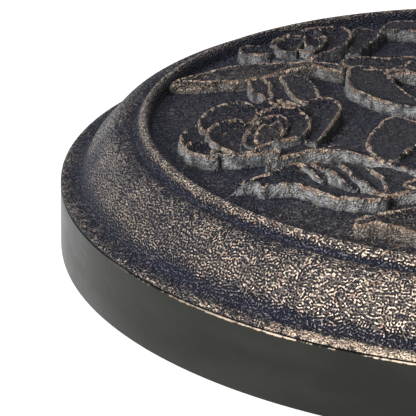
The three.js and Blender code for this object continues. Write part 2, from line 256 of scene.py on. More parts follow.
def wrinkle_bronze():
    """Dark wrinkle paint. Its ridges are dry-brushed in cream and copper where "brush" is high, and its edges
    where
    "gild" is high, both more towards the front: painted light. The relief is marked "lump" for its lumps, and
    "wall" for the grey on its walls, worn in patches: partly paint, partly a painted highlight, lighter on
    walls that face the front left as painted light and darker at their feet as painted shade."""
    t = Tree("wrinkle_bronze")
    brush, gild, wall, lump = t.mark("brush"), t.mark("gild"), t.mark("wall"), t.mark("lump")
    front = t.front()
    grain = t.noise(1.0 * MM, 2)
    lumps = t.noise(2.0 * MM, 4, 0.65)
    tint = t.noise(5 * MM, 2)
    blotch = t.noise(26 * MM, 3, 0.6)
    ridge = t.add(t.worms(1.3 * MM), t.wobble(grain, 0.03))

    # Gold on the ridges, heavier over the front than over the back and left: painted light from the front.
    # The heavier its load, the wider the gilded crests and the more of them shine with pale tops: a painted
    # highlight.
    # The glints on the relief's lumps are painted highlights too.
    stroke_and_front_light = t.math("POWER", brush, t.ramp(front, 0.1, 0.9, 1.9, 0.8))
    stroke_and_front_light = t.times(stroke_and_front_light, t.ramp(front, 0.1, 0.8, 0.62, 1.0))
    stroke_and_front_light = t.add(stroke_and_front_light, t.times(t.ramp(front, 0.7, 0.98, 0.0, 0.3), t.step(brush, 0.1, 0.45)))
    load_and_front_light = t.add(stroke_and_front_light, t.times(t.wobble(blotch, 0.32), t.step(brush, 0.02, 0.4)), clamp=True)
    edge = t.ramp(load_and_front_light, 0.0, 1.0, 0.60, 0.38)
    crest = t.step(ridge, edge, t.add(edge, 0.09))
    rubbed = t.times(crest, t.ramp(load_and_front_light, 0.0, 0.5, 0.0, 1.0))
    shine_edge = t.ramp(load_and_front_light, 0.3, 1.0, 0.68, 0.50)
    shine = t.step(t.add(ridge, t.wobble(tint, 0.13)), shine_edge, t.add(shine_edge, 0.14))
    glint = t.times(t.step(lumps, 0.53, 0.64), t.times(lump, 0.85))

    # Gold along the edges, broken into dashes except at the very front, where it runs whole: a painted
    # highlight.
    # Elsewhere only the relief has it, dimmer towards the back: painted shade.
    near = t.ramp(front, 0.8, 0.97)
    broken = t.add(gild, t.add(t.wobble(lumps, 0.6), t.wobble(grain, 0.5)))
    broken = t.add(broken, t.add(t.wobble(tint, 1.3), t.wobble(blotch, 0.6)))
    broken = t.add(t.step(broken, 0.4, 0.8), t.times(near, 0.6), clamp=True)
    lit_relief = t.times(lump, t.ramp(front, 0.0, 0.6, 0.4, 1.0))
    line = t.times(t.times(broken, t.step(gild, 0.05, 0.4)), t.most(lit_relief, t.step(front, 0.68, 0.92)))
    gold = t.most(t.most(rubbed, glint), line, clamp=True)

    dark = t.mix(t.step(blotch, 0.38, 0.62), NAVY, CHARCOAL)
    # The crests are lighter than the dark between them: a painted sheen.
    dark = t.mix(t.step(ridge, 0.5, 0.62), dark, CREST_SHEEN)
    worn = t.add(t.noise(4.5 * MM, 4, 0.62, (1, 1, 0.7)), t.wobble(lumps, 0.12))
    # The walls' grey, lighter towards the front: painted light.
    lit_coat = t.times(wall, t.ramp(front, 0.0, 0.6, 0.4, 1.0))
    dark = t.mix(t.times(t.ramp(worn, 0.36, 0.62, 0.18, 1.0), lit_coat), dark, WALL_GREY_AND_SHEEN)
    pale = t.mix(t.step(tint, 0.5, 0.72), CREAM, COPPER)
    # Towards the back the pale gold is dulled with umber: painted shade.
    pale = t.mix(t.step(front, 0.3, 0.9), t.mix(0.5, pale, UMBER), pale)
    warm = t.mix(shine, UMBER, pale)
    edging = t.mix(t.step(lumps, 0.45, 0.62), COPPER, PALE_GOLD)
    # At the very front the edges turn pale gold: a painted highlight.
    edging = t.mix(t.times(near, 0.75), edging, PALE_GOLD)

    swell = t.add(t.step(ridge, 0.30, 0.62), t.times(grain, 0.25))
    swell = t.times(swell, t.ramp(brush, 0.0, 0.3, 0.6, 1.0))
    swell = t.add(swell, t.times(lumps, t.ramp(lump, 0, 1, 0.2, 3.4)))
    matt = t.ramp(ridge, 0.35, 0.6, 0.6, 0.42)
    t.shade(
        Base_Color=t.mix(gold, dark, t.mix(t.step(line, 0.2, 0.6), warm, edging)),
        Metallic=t.ramp(gold, 0, 1, 0.0, 0.4),
        Roughness=t.ramp(t.most(gold, lump), 0, 1, matt, 0.34),
        Specular_IOR_Level=0.38,
        Specular_Tint=(0.84, 0.89, 1.0, 1),
        Normal=t.bump(swell, 1.5 * MM),
    )
    return t.material


def satin_band():
    """Smooth olive grey, with faint flow marks and dust, and gold specks on its upper edge, marked "brush",
    that show
    only towards the front: painted light.
    """
    t = Tree("satin_band")
    brush = t.mark("brush")
    flow = t.noise(60 * MM, 4, 0.6, (1, 1, 3))
    speck = t.noise(2 * MM, 2)
    specks_and_light = t.add(brush, t.add(t.wobble(speck, 0.35), t.wobble(t.noise(22 * MM, 3), 0.5)))
    # The specks show only towards the front: painted light.
    specks_and_light = t.times(t.step(specks_and_light, 0.8, 1.2), t.times(brush, t.step(t.front(), 0.5, 0.9)))
    t.shade(
        Base_Color=t.mix(specks_and_light, t.mix(t.step(flow, 0.35, 0.7), OLIVE, DUSTY_OLIVE), CREAM),
        Roughness=t.ramp(flow, 0.3, 0.7, 0.3, 0.42),
        Specular_IOR_Level=0.115,
        Normal=t.bump(t.add(flow, t.times(speck, 0.02)), 0.6 * MM),
    )
    return t.material


def grainy(name, light, dark, roughness, size, depth, metallic=0.0, specular=0.5):
    """A plain finish with two close tones, an uneven gloss and a fine grain of this size and depth."""
    t = Tree(name)
    tone = t.noise(14 * size, 4, 0.6)
    grain = t.noise(size, 3, 0.55)
    share = t.step(t.add(tone, t.wobble(grain, 0.15)), 0.35, 0.68)
    t.shade(
        Base_Color=t.mix(share, dark + (1,), light + (1,)),
        Metallic=metallic,
        Roughness=t.ramp(tone, 0.3, 0.7, roughness - 0.06, roughness + 0.06),
        Specular_IOR_Level=specular,
        Normal=t.bump(grain, depth),
    )
    return t.material


# ---- Mesh building ----
class Shape:
    """Points, faces and per-point marks, gathered piece by piece into one mesh."""

    MARKS = ("brush", "gild", "wall", "lump")

    def __init__(self):
        self.points, self.faces = [], []
        self.marks = {name: [] for name in self.MARKS}
        self.count = 0

    def add(self, points, faces, **marks):
        """Adds points with their faces. A mark is one value, or one for each point, or nought if left out."""
        points = np.asarray(points, float).reshape(-1, 3)
        self.points.append(points)
        for name in self.MARKS:
            self.marks[name].append(np.broadcast_to(marks.get(name, 0.0), len(points)).astype(float))
        self.faces += [[i + self.count for i in face] for face in faces]
        self.count += len(points)

    def mesh(self, name):
        mesh = bpy.data.meshes.new(name)
        mesh.from_pydata(np.concatenate(self.points).tolist(), [], self.faces)
        for mark, values in self.marks.items():
            layer = mesh.attributes.new(mark, "FLOAT", "POINT")
            layer.data.foreach_set("value", np.concatenate(values).astype(np.float32))
        return mesh


SHARP_ABOVE = math.radians(35)  # an edge with a sharper turn isn't smoothed


def make_piece(name, shape, material, body, nodes):
    """The shape, or a mesh, as a piece that rides on the body and stands for these CAD nodes."""
    mesh = shape.mesh(name) if isinstance(shape, Shape) else shape
    mesh.materials.append(material)
    mesh.shade_smooth()
    mesh.set_sharp_from_angle(angle=SHARP_ABOVE)
    piece = add_object(name, mesh)
    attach(piece, body)
    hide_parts(*nodes)


def grid_faces(rows, columns, closed=False):
    """Quads between rings of points. With closed, the last ring joins the first."""
    faces = []
    for r in range(rows if closed else rows - 1):
        below, above = r * columns, (r + 1) % rows * columns
        for c in range(columns):
            after = (c + 1) % columns
            faces.append((below + c, below + after, above + after, above + c))
    return faces


def end_faces(rows, columns):
    """Triangles that close the first and last of these rings on the two points that come after them all."""
    top, first_end = (rows - 1) * columns, rows * columns
    faces = [(first_end, (c + 1) % columns, c) for c in range(columns)]
    return faces + [(top + c, top + (c + 1) % columns, first_end + 1) for c in range(columns)]


def turned(shape, profile, segments, centre=(0, 0, 0), along="z", lobes=0, **marks):
    """Adds a profile of (radius, height, ...) turned about an axis. It runs with the body on its left, seen
    with the radius to the right. It starts and ends on the axis, or closes on itself. A third number is the
    brush mark, or with lobes the height of that many waves round the axis."""
    rows = np.asarray(profile, float)
    poles = rows[0, 0] < 1e-9
    ring = rows[1:-1] if poles else rows
    angle = np.arange(segments) / segments * TAU
    radius = ring[:, :1] + (ring[:, 2:3] * np.cos(lobes * angle) if lobes else 0 * angle)
    height = ring[:, 1:2] + 0 * angle
    across = (radius * np.cos(angle), radius * np.sin(angle))
    points = np.stack((*across, height) if along == "z" else (height, *across), -1).reshape(-1, 3)
    faces = grid_faces(len(ring), segments, closed=not poles)
    if poles:
        ends = [(0, 0, z) if along == "z" else (z, 0, 0) for z in (rows[0, 1], rows[-1, 1])]
        faces += end_faces(len(ring), segments)
        points = np.vstack([points, ends])
    if rows.shape[1] > 2 and not lobes:
        end_marks = [rows[0, 2], rows[-1, 2]] if poles else []
        marks["brush"] = np.append(np.repeat(ring[:, 2], segments), end_marks)
    shape.add(points + np.asarray(centre), faces, **marks)


def rounded(profile, reach):
    """The (radius, height) profile with each inner corner cut back by reach and rounded."""
    steps = 4
    points = [np.asarray(p, float) for p in profile]
    out = [points[0]]
    for a, b, c in zip(points, points[1:], points[2:]):
        into, away = b - a, c - b
        cut = min(reach, 0.45 * np.linalg.norm(into), 0.45 * np.linalg.norm(away))
        start = b - into / max(np.linalg.norm(into), 1e-9) * cut
        end = b + away / max(np.linalg.norm(away), 1e-9) * cut
        for k in range(steps + 1):
            t = k / steps
            out.append((1 - t) ** 2 * start + 2 * t * (1 - t) * b + t**2 * end)
    return [tuple(p) for p in out + [points[-1]]]


def spline(points, count, closed):
    """Points evenly spaced along a Catmull-Rom curve through the given ones."""
    steps = 12
    p = np.asarray(points, float)
    n = len(p)
    if closed:
        knots = [p[(i + k) % n] for i in range(n) for k in (-1, 0, 1, 2)]
    else:
        ends = np.vstack([2 * p[0] - p[1], p, 2 * p[-1] - p[-2]])
        knots = [ends[i + k] for i in range(n - 1) for k in range(4)]
    t = np.linspace(0, 1, steps, endpoint=False)[:, None]
    curve = []
    for i in range(0, len(knots), 4):
        a, b, c, d = knots[i : i + 4]
        squared, cubed = 2 * a - 5 * b + 4 * c - d, 3 * b - a - 3 * c + d
        curve.append(0.5 * (2 * b + (c - a) * t + squared * t**2 + cubed * t**3))
    curve = np.vstack(curve + [p[:1] if closed else p[-1:]])
    run = np.concatenate([[0], np.cumsum(np.linalg.norm(np.diff(curve[:, :2], axis=0), axis=1))])
    at = np.linspace(0, run[-1], count, endpoint=not closed)
    return np.stack([np.interp(at, run, curve[:, k]) for k in range(p.shape[1])], 1)


def carve(mesh, cutters):
    """The mesh with the closed cutter shapes taken out of it."""
    body = add_object("body", mesh)
    tools = add_object("tools", cutters.mesh("tools"))
    modifier = body.modifiers.new("carve", "BOOLEAN")
    modifier.operation = "DIFFERENCE"
    modifier.solver = "EXACT"
    modifier.object = tools
    bpy.context.view_layer.update()
    seen = body.evaluated_get(bpy.context.evaluated_depsgraph_get())
    cut = bpy.data.meshes.new_from_object(seen)
    cut.name = mesh.name
    for used in (body, tools):
        bpy.data.objects.remove(used)
    return cut


def rod(shape, radius, low, high, segments, centre=(0, 0, 0), along="z"):
    """Adds a plain round bar."""
    turned(shape, [(0, low), (radius, low), (radius, high), (0, high)], segments, centre, along)


def places(prefix, count):
    """The middles of the numbered nodes, in the plane."""
    boxes = [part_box(f"{prefix}_{i + 1}") for i in range(count)]
    return [((low.x + high.x) / 2, (low.y + high.y) / 2) for low, high in boxes]


# ---- Relief ----
SPINE = 24  # points along a lobe's middle line, to which the points of its rim are tied
KNOTS = 12  # points kept along that line
RIM_STEP = 1.1 * MM  # about the gap between a rim's points
RIM_COUNT = (48, 150)  # the fewest and the most of them

# A lobe is (outline, middle line, options). Points are (x, y, height): x and y are thousandths of the disc's
# radius, and height is hundredths of the relief's. The lowest lobes come first.
ROSE_A = [
    # ground under the petals
    ([(-600, 100, 35), (-680, 40, 35), (-700, -50, 35), (-735, -120, 35), (-715, -190, 35), (-650, -215, 35),
     (-560, -190, 35), (-480, -140, 35), (-440, -60, 35), (-420, 50, 35), (-430, 120, 35), (-500, 90, 35),
     (-550, 120, 35)],
     [(-660, -120, 35), (-480, 60, 35)], dict(gild=0, rim=0)),
    # loose petal edge at the lower right
    ([(-431, -100, 30), (-432, -118, 38), (-450, -145, 40), (-478, -172, 35), (-500, -170, 30),
     (-470, -120, 30)],
     [(-450, -120, 30), (-480, -155, 30)], dict(gild=0.4)),
    # top petal
    ([(-590, 100, 60), (-575, 118, 80), (-550, 142, 95), (-520, 130, 85), (-490, 100, 70), (-510, 75, 40),
     (-550, 70, 40), (-580, 70, 40)],
     [(-570, 85, 45), (-520, 90, 45)], {}),
    # upper left petal
    ([(-605, 114, 85), (-640, 105, 92), (-673, 70, 98), (-696, 22, 100), (-707, -15, 95), (-698, -60, 85),
     (-665, -70, 50), (-625, -20, 45), (-590, 40, 45), (-585, 90, 60)],
     [(-665, -15, 42), (-615, 70, 45)], {}),
    # left petal
    ([(-706, -28, 70), (-722, -50, 85), (-736, -85, 95), (-744, -130, 95), (-735, -165, 70),
     (-700, -165, 40), (-675, -110, 40), (-685, -50, 45)],
     [(-705, -70, 40), (-710, -140, 40)], {}),
    # small loop at the lower left
    ([(-690, -137, 70), (-716, -139, 85), (-731.5, -165, 92), (-727, -205, 97), (-710, -225, 100),
     (-685, -240, 100), (-667, -237, 90), (-660, -200, 50), (-670, -155, 50)],
     [(-700, -160, 42), (-690, -205, 42)], dict(rough=0.5)),
    # right petal
    ([(-496, 83, 80), (-479, 110, 92), (-461.5, 133, 97), (-442, 145, 100), (-419, 131, 100),
     (-404, 102, 100), (-404, 70, 97), (-413, 35, 95), (-423, -5, 93), (-438, -55, 92), (-453, -100, 88),
     (-468, -125, 75), (-485, -100, 45), (-476, -30, 45), (-470, 40, 50), (-485, 60, 55)],
     [(-445, 100, 55), (-450, 30, 50), (-468, -80, 50)], {}),
    # bottom petal
    ([(-676, -190, 90), (-672, -222, 100), (-637, -233, 100), (-600, -223, 100), (-569, -206, 97),
     (-542, -185, 93), (-545, -155, 50), (-590, -150, 40), (-640, -160, 40)],
     [(-650, -190, 42), (-570, -170, 42)], {}),
    # inner left petal
    ([(-620, 0, 85), (-650, -18, 95), (-672, -40, 100), (-686, -75, 100), (-688, -110, 100),
     (-677, -147, 95), (-655, -178, 85), (-615, -190, 60), (-600, -140, 40), (-600, -60, 40)],
     [(-630, -30, 40), (-640, -120, 35)], dict(rough=0.35)),
    # big curl round the heart
    ([(-581, 37, 90), (-565, 60, 97), (-531, 81, 100), (-500, 68, 100), (-483, 33, 100), (-473, -13, 100),
     (-477, -63, 100), (-500, -105, 100), (-531, -132, 100), (-560, -148, 97), (-585, -170, 92),
     (-600, -193, 85), (-618, -170, 60), (-615, -110, 60), (-603, -40, 65), (-592, 10, 75)],
     [(-540, 30, 40), (-530, -50, 35), (-580, -130, 40)], {}),
    # heart
    ([(-531, 14, 100), (-554, 18, 100), (-577, -5, 100), (-590, -40, 100), (-598, -70, 100),
     (-611, -100, 95), (-612, -135, 85), (-590, -150, 55), (-555, -120, 45), (-530, -70, 45),
     (-520, -10, 85)],
     [(-550, -10, 55), (-585, -110, 50)], {}),
    # bud
    ([(-572, -45, 105), (-556, -40, 95), (-540, -24, 105), (-530, -50, 80), (-540, -100, 50),
     (-565, -135, 45), (-588, -120, 50), (-586, -75, 90)],
     [(-560, -60, 90), (-565, -110, 65)], dict(rim=0.1, rough=0.7, brush=0.55)),
]

ROSE_B = [
    # ground under the petals
    ([(-600, 490, 35), (-570, 550, 35), (-520, 600, 35), (-450, 655, 35), (-380, 640, 35), (-380, 550, 35),
     (-430, 470, 35), (-500, 470, 35), (-560, 460, 35)],
     [(-540, 510, 35), (-420, 600, 35)], dict(gild=0, rim=0)),
    # left petal
    ([(-598, 520, 85), (-612, 500, 95), (-618, 480, 95), (-612, 457, 95), (-595, 444, 100), (-572, 443, 100),
     (-552, 455, 95), (-545, 490, 50), (-550, 530, 45), (-570, 540, 60)],
     [(-585, 500, 45), (-570, 475, 42)], {}),
    # back petal, along the bead
    ([(-545, 555, 80), (-520, 585, 95), (-487, 612, 100), (-473, 630, 100), (-455, 646, 100),
     (-430, 655, 100), (-420, 620, 50), (-460, 570, 45), (-510, 540, 45)],
     [(-510, 565, 50), (-450, 620, 50)], {}),
    # right petal
    ([(-435, 655, 90), (-400, 668, 95), (-376, 663, 97), (-363.6, 645, 100), (-357, 618, 100),
     (-359, 582, 100), (-373, 536, 100), (-391, 504.5, 100), (-413.6, 480, 100), (-436, 452, 100),
     (-452, 438, 90), (-466, 455, 60), (-440, 520, 45), (-430, 580, 45), (-440, 620, 60)],
     [(-410, 630, 50), (-400, 570, 40), (-435, 490, 45)], {}),
    # curl round the heart
    ([(-518, 575, 90), (-530, 545, 100), (-534, 510, 100), (-528, 480, 100), (-512, 463, 100),
     (-493, 467, 100), (-483, 504.5, 100), (-473, 540, 100), (-465, 578, 100), (-475, 595, 90),
     (-495, 598, 90)],
     [(-505, 500, 35), (-500, 560, 40)], {}),
    # heart
    ([(-468, 560, 90), (-462, 525, 95), (-447, 500, 100), (-430, 520, 100), (-418, 560, 100),
     (-418, 595, 90), (-435, 610, 60), (-455, 595, 50)],
     [(-445, 535, 50), (-435, 580, 50)], {}),
    # low front petal
    ([(-482, 495, 85), (-474, 478, 100), (-458, 474, 100), (-446, 488, 90), (-452, 520, 50),
     (-472, 525, 50)],
     [(-467, 495, 60), (-462, 512, 50)], dict(rough=0.3)),
]

LEAVES = [
    # ---- by rose A, towards the front ----
    # leaf under the rose, its edge turned up towards the front
    ([(-567, -257.5, 75), (-561, -252, 95), (-545, -240, 100), (-515, -221, 100), (-488, -196, 100),
     (-465, -191, 100), (-434, -188, 100), (-411, -191.5, 100), (-388, -208, 100), (-361, -227, 100),
     (-334, -252, 100), (-311, -273, 100), (-280, -296, 100), (-240, -312, 95), (-190, -300, 90),
     (-170, -250, 80), (-230, -200, 60), (-300, -160, 50), (-360, -125, 45), (-420, -115, 40),
     (-480, -165, 50), (-530, -210, 60)],
     [(-520, -212, 65), (-440, -155, 50), (-360, -170, 55), (-280, -240, 70), (-220, -260, 70)],
     dict(rough=0.4, brush=0.2)),
    # narrow leaf lying over it
    ([(-335, -222, 75), (-348, -190, 75), (-357, -135, 78), (-348, -80, 80), (-330, -30, 85), (-306, 20, 90),
     (-280, 30, 80), (-230, -10, 80), (-200, -80, 90), (-228, -125, 100), (-261.5, -160, 100),
     (-287, -198, 100), (-301, -235, 100), (-318, -240, 90)],
     [(-320, -190, 85), (-310, -100, 80), (-270, -30, 80)], dict(brush=0.2)),
    # lower half of the big leaf: a bowl behind its raised front edge
    ([(-641.5, -391, 8), (-631, -388.5, 50), (-618, -385, 95), (-600, -383, 100), (-585, -385, 100),
     (-577, -402, 85), (-569, -394, 100), (-545, -391, 100), (-504, -391.5, 100), (-497.5, -404, 90),
     (-485, -410, 100), (-464.5, -431.5, 100), (-445.5, -446.5, 100), (-434, -457, 88), (-423, -456, 98),
     (-405, -462.5, 100), (-372, -468, 100), (-350, -462, 95), (-335, -440, 80), (-370, -400, 40),
     (-430, -360, 30), (-470, -325, 35), (-495, -295, 70), (-513, -276, 97), (-526, -288, 100),
     (-564.6, -333, 100), (-600, -366, 100), (-622, -380, 80)],
     [(-585, -367, 85), (-520, -345, 50), (-460, -375, 40), (-400, -425, 45), (-360, -440, 60)],
     dict(rough=0.45)),
    # pleats of its upper half, each with a crest on its left
    ([(-517, -270, 90), (-503, -272.5, 100), (-495.5, -276, 100), (-490.5, -287.5, 100), (-479, -308.5, 95),
     (-466, -330, 72), (-458.5, -327, 60), (-445, -300, 70), (-452, -265, 60), (-475, -250, 55),
     (-500, -255, 75)],
     [(-487, -268, 80), (-462, -305, 80)], dict(rough=0.4, brush=0.25)),
    ([(-475, -266, 100), (-469, -283, 100), (-461.5, -298, 100), (-453.1, -305.8, 100),
     (-433.8, -319.2, 100), (-425, -338, 100), (-414.6, -365.4, 85), (-401.2, -382.7, 62), (-392, -378, 55),
     (-388, -340, 70), (-402, -290, 65), (-425, -255, 60), (-458, -250, 80)],
     [(-452, -272, 85), (-430, -300, 80), (-405, -355, 80)], dict(rough=0.4, brush=0.2)),
    ([(-419, -263, 100), (-412, -287, 100), (-404, -307, 100), (-397, -343, 100), (-388.5, -357.7, 100),
     (-372.3, -376.9, 100), (-360, -400, 85), (-349.2, -419.2, 65), (-337, -420, 60), (-330, -370, 70),
     (-345, -310, 65), (-375, -260, 65), (-405, -250, 80)],
     [(-397, -272, 85), (-375, -330, 80), (-352, -395, 80)], dict(rough=0.4, brush=0.2)),
    ([(-357, -305, 100), (-341.5, -334.6, 100), (-335.8, -365.4, 100), (-335, -403, 85),
     (-345.4, -423.8, 70), (-325, -424.5, 75), (-310.8, -421.2, 85), (-283.8, -417.3, 100),
     (-250, -412, 100), (-235, -390, 85), (-260, -340, 70), (-305, -285, 70), (-340, -280, 85)],
     [(-335, -310, 85), (-310, -370, 80), (-300, -400, 85)], dict(rough=0.4, brush=0.25)),
    ([(-272, -355, 100), (-297, -376, 100), (-285, -395, 95), (-250, -412, 100), (-200, -415, 100),
     (-155, -385, 90), (-170, -330, 80), (-230, -320, 90)],
     [(-270, -375, 85), (-190, -370, 80)], dict(rough=0.4, brush=0.25)),
    # ---- between the two roses ----
    # long leaf with its point on the bead: the half beyond the midrib
    ([(-772, 232, 75), (-754.5, 257, 95), (-713.6, 285, 100), (-690, 304.5, 100), (-654.5, 340, 100),
     (-620, 360, 95), (-560, 380, 90), (-500, 392, 90), (-450, 400, 90), (-400, 385, 90), (-388, 352, 95),
     (-391, 326, 100), (-413.6, 341, 100), (-432, 352, 100), (-445, 366, 100), (-463.6, 362.5, 100),
     (-482, 350, 100), (-509, 332, 100), (-540, 310, 95), (-580, 280, 85), (-620, 262, 80), (-686, 258, 78),
     (-725, 256, 75), (-752, 245, 70)],
     [(-735, 262, 85), (-660, 300, 88), (-570, 335, 85), (-490, 370, 85), (-420, 365, 90)],
     dict(rough=1.2, brush=0.9, veins=9, vein_h=0.25)),
    # and the half before it, falling to the front
    ([(-785, 243, 35), (-762, 252, 80), (-740, 255.5, 86), (-722.7, 253.5, 84), (-686, 252, 84),
     (-650, 256, 84), (-610, 272, 84), (-590, 287, 80), (-615, 280, 50), (-650, 262, 45), (-686, 246, 42),
     (-720, 238, 40), (-754.5, 234, 35), (-775, 236, 30)],
     [(-765, 243, 60), (-686, 249, 66), (-610, 276, 66)], dict(rough=2.2, brush=1.7, rim=0.05)),
    # three long folds behind rose A
    ([(-597, 262, 85), (-592, 200, 85), (-570, 165, 85), (-550, 120, 80), (-530, 140, 60), (-540, 230, 60),
     (-560, 290, 70), (-585, 290, 80)],
     [(-575, 240, 65), (-555, 160, 60)], dict(rough=0.4, brush=0.3)),
    ([(-565, 290, 80), (-553, 240, 90), (-553, 190, 90), (-535, 130, 85), (-500, 120, 65), (-500, 200, 65),
     (-515, 270, 65), (-540, 310, 75)],
     [(-540, 260, 70), (-525, 170, 65)], dict(rough=0.4, brush=0.3)),
    ([(-527, 300, 80), (-518, 240, 95), (-510, 180, 95), (-490, 130, 90), (-455, 130, 80), (-448, 170, 90),
     (-457, 230, 95), (-469, 273, 95), (-490, 300, 85)],
     [(-497, 260, 80), (-480, 170, 75)], dict(rough=0.4, brush=0.3)),
    # low leaf beyond
    ([(-385, 425, 80), (-350, 440, 90), (-310, 437, 90), (-270, 437, 90), (-220, 450, 90), (-170, 430, 85),
     (-190, 385, 80), (-260, 355, 85), (-330, 360, 80), (-375, 385, 80)],
     [(-340, 400, 70), (-220, 415, 75)], dict(rough=0.5, brush=0.35)),
    # broad leaf, edge on towards the left
    ([(-370, 360, 95), (-376, 310, 100), (-379, 254.5, 100), (-371, 210, 100), (-347, 173, 100),
     (-320, 141, 100), (-284, 109, 100), (-256, 95.5, 100), (-215, 100, 95), (-230, 145, 75),
     (-255, 210, 70), (-275, 273, 70), (-285, 330, 75), (-330, 375, 85)],
     [(-340, 330, 70), (-335, 250, 60), (-300, 180, 60), (-250, 125, 70)], dict(rough=0.35, brush=0.2)),
    # leaf to its right, lit along its front
    ([(-287, 305, 90), (-268, 321.5, 100), (-241, 324, 100), (-200, 310, 100), (-150, 275, 95),
     (-120, 330, 80), (-160, 385, 70), (-230, 405, 70), (-275, 365, 80)],
     [(-250, 355, 80), (-170, 340, 80)], dict(rough=0.5, brush=0.4)),
]

# Leaves by rose B that stand only on the side away from the clamp.
FAR_LEAVES = [
    ([(-348, 645, 95), (-330, 648, 100), (-310, 640, 100), (-294, 625, 100), (-293, 605, 100),
     (-300, 577, 100), (-322.7, 536, 100), (-336, 509, 100), (-345, 480, 90), (-370, 500, 50),
     (-357, 560, 45), (-352, 610, 60)],
     [(-320, 625, 85), (-328, 580, 60), (-347, 520, 60)], dict(rough=0.4)),
    ([(-286, 640, 95), (-270, 644.5, 100), (-245, 646, 100), (-200, 640, 100), (-150, 620, 100),
     (-100, 640, 90), (-130, 700, 80), (-200, 735, 80), (-260, 715, 85)],
     [(-250, 680, 80), (-160, 670, 80)], dict(rough=0.4, brush=0.3)),
]

# Leaf before rose B's place in the next repeat.
NEAR_LEAVES = [
    ([(-404, -588, 80), (-398, -572, 95), (-388, -561, 100), (-372, -549, 95), (-330, -525, 90),
     (-290, -507, 90), (-230, -500, 85), (-170, -530, 80), (-170, -600, 90), (-220, -655, 100),
     (-250, -670, 100), (-280, -655, 100), (-295, -640, 100), (-310, -625, 100), (-323, -610, 100),
     (-335, -602, 95), (-349, -603, 100), (-358, -593, 100), (-372, -590, 100), (-390, -598, 90)],
     [(-378, -573, 75), (-330, -560, 60), (-250, -580, 70)], dict(rough=1.3, brush=0.4)),
]


def along_line(line, at):
    """The line's points at these places, counted in its own points and parts of them."""
    return np.stack([np.interp(at, np.arange(len(line)), line[:, k]) for k in range(3)], 1)


def lobe_lines(outline, middle, turn):
    """A lobe's rim, the directions out of it and its middle line, at their places on the disc."""
    unit = np.array([DISC_R / 1000, DISC_R / 1000, RELIEF_H / 100])
    cos, sin = math.cos(turn), math.sin(turn)
    spin = np.array([[cos, sin, 0], [-sin, cos, 0], [0, 0, 1]])
    path = np.asarray(outline, float) * unit
    length = np.linalg.norm(np.diff(path[:, :2], axis=0), axis=1).sum()
    count = int(np.clip(length / RIM_STEP, *RIM_COUNT))
    ring = spline(path, count, True) @ spin
    spine = spline(np.asarray(middle, float) * unit, SPINE, False) @ spin
    ring[:, 2] += FIELD_Z
    spine[:, 2] += FIELD_Z
    ahead, behind = np.roll(ring, -1, 0), np.roll(ring, 1, 0)
    if np.sum(ring[:, 0] * ahead[:, 1] - ahead[:, 0] * ring[:, 1]) < 0:
        ring = ring[::-1]
        ahead, behind = np.roll(ring, -1, 0), np.roll(ring, 1, 0)
    side = ahead[:, :2] - behind[:, :2]
    out = np.stack([side[:, 1], -side[:, 0]], 1) / np.linalg.norm(side, axis=1)[:, None]
    # A cast edge isn't even: it wanders a little, in and out and up and down.
    run = np.arange(count) / count * length / MM
    ring[:, :2] += out * (0.22 * MM * np.sin(run * 0.9 + 3 * np.sin(run * 0.23)))[:, None]
    ring[:, 2] += 0.16 * MM * np.sin(run * 0.71 + 2 * np.sin(run * 0.31))
    return ring, out, spine


def wall_rows(ring, out):
    """(points, gild, wall) rows of a lobe's wall, from under the field up to its rim."""
    tall = np.maximum(ring[:, 2] - (FIELD_Z - 1 * MM), 0.3 * MM)
    # The lower rows lean out by a share of the wall's height, and the upper ones turn over to the rim.
    # Each row's last number is its share of the walls' grey, low at the wall's foot: painted shade.
    leaning = ((0.26, 1.0, 0.1), (0.19, 0.72, 0.7), (0.145, 0.45, 1.0))
    rows = [(lean * tall, drop * tall, 0.0, grey) for lean, drop, grey in leaning]
    turning = ((0.95, 2.2, 0.4, 0.1, 0.95), (0.8, 1.1, 0.27, 0.45, 0.6), (0.45, 0.35, 0.12, 0.9, 0.1))
    for reach, drop, most, gold, grey in turning:
        rows.append((reach * MM + 0 * tall, np.minimum(drop * MM, most * tall), gold, grey))
    return [
        (np.column_stack([ring[:, :2] + out * reach[:, None], ring[:, 2] - drop]), gold, grey)
        for reach, drop, gold, grey in rows
    ]


def top_rows(ring, mid, tie, rim, veins, vein_h):
    """(points, gild, wall) rows of a lobe's top: some near the rim, then even steps to the middle line."""
    width = np.linalg.norm(ring[:, :2] - mid[:, :2], axis=1)
    edges = (0.0, 0.45, 1.0, 1.7, 2.6)
    shares = [np.minimum(d * MM / np.maximum(width, 0.1 * MM), 0.11 * k) for k, d in enumerate(edges)]
    shares += [shares[-1] + (1 - shares[-1]) * k / 8 for k in range(1, 8)]
    rows = []
    for k, share in enumerate(shares):
        fall = 1 - (1 - share) ** 2
        dip = rim * MM * (1 - np.exp(-((share * width / (1.2 * MM)) ** 2)))
        z = ring[:, 2] + (mid[:, 2] - ring[:, 2]) * fall - dip
        if veins:
            z = z + vein_h * MM * np.cos(TAU * (tie / SPINE * veins - share)) * np.sin(math.pi * share)
        xy = ring[:, :2] + (mid[:, :2] - ring[:, :2]) * share[:, None]
        gold = math.exp(-((edges[k] / 0.95) ** 2)) if k < len(edges) else 0.0
        rows.append((np.column_stack([xy, z]), gold, 0.0))
    return rows


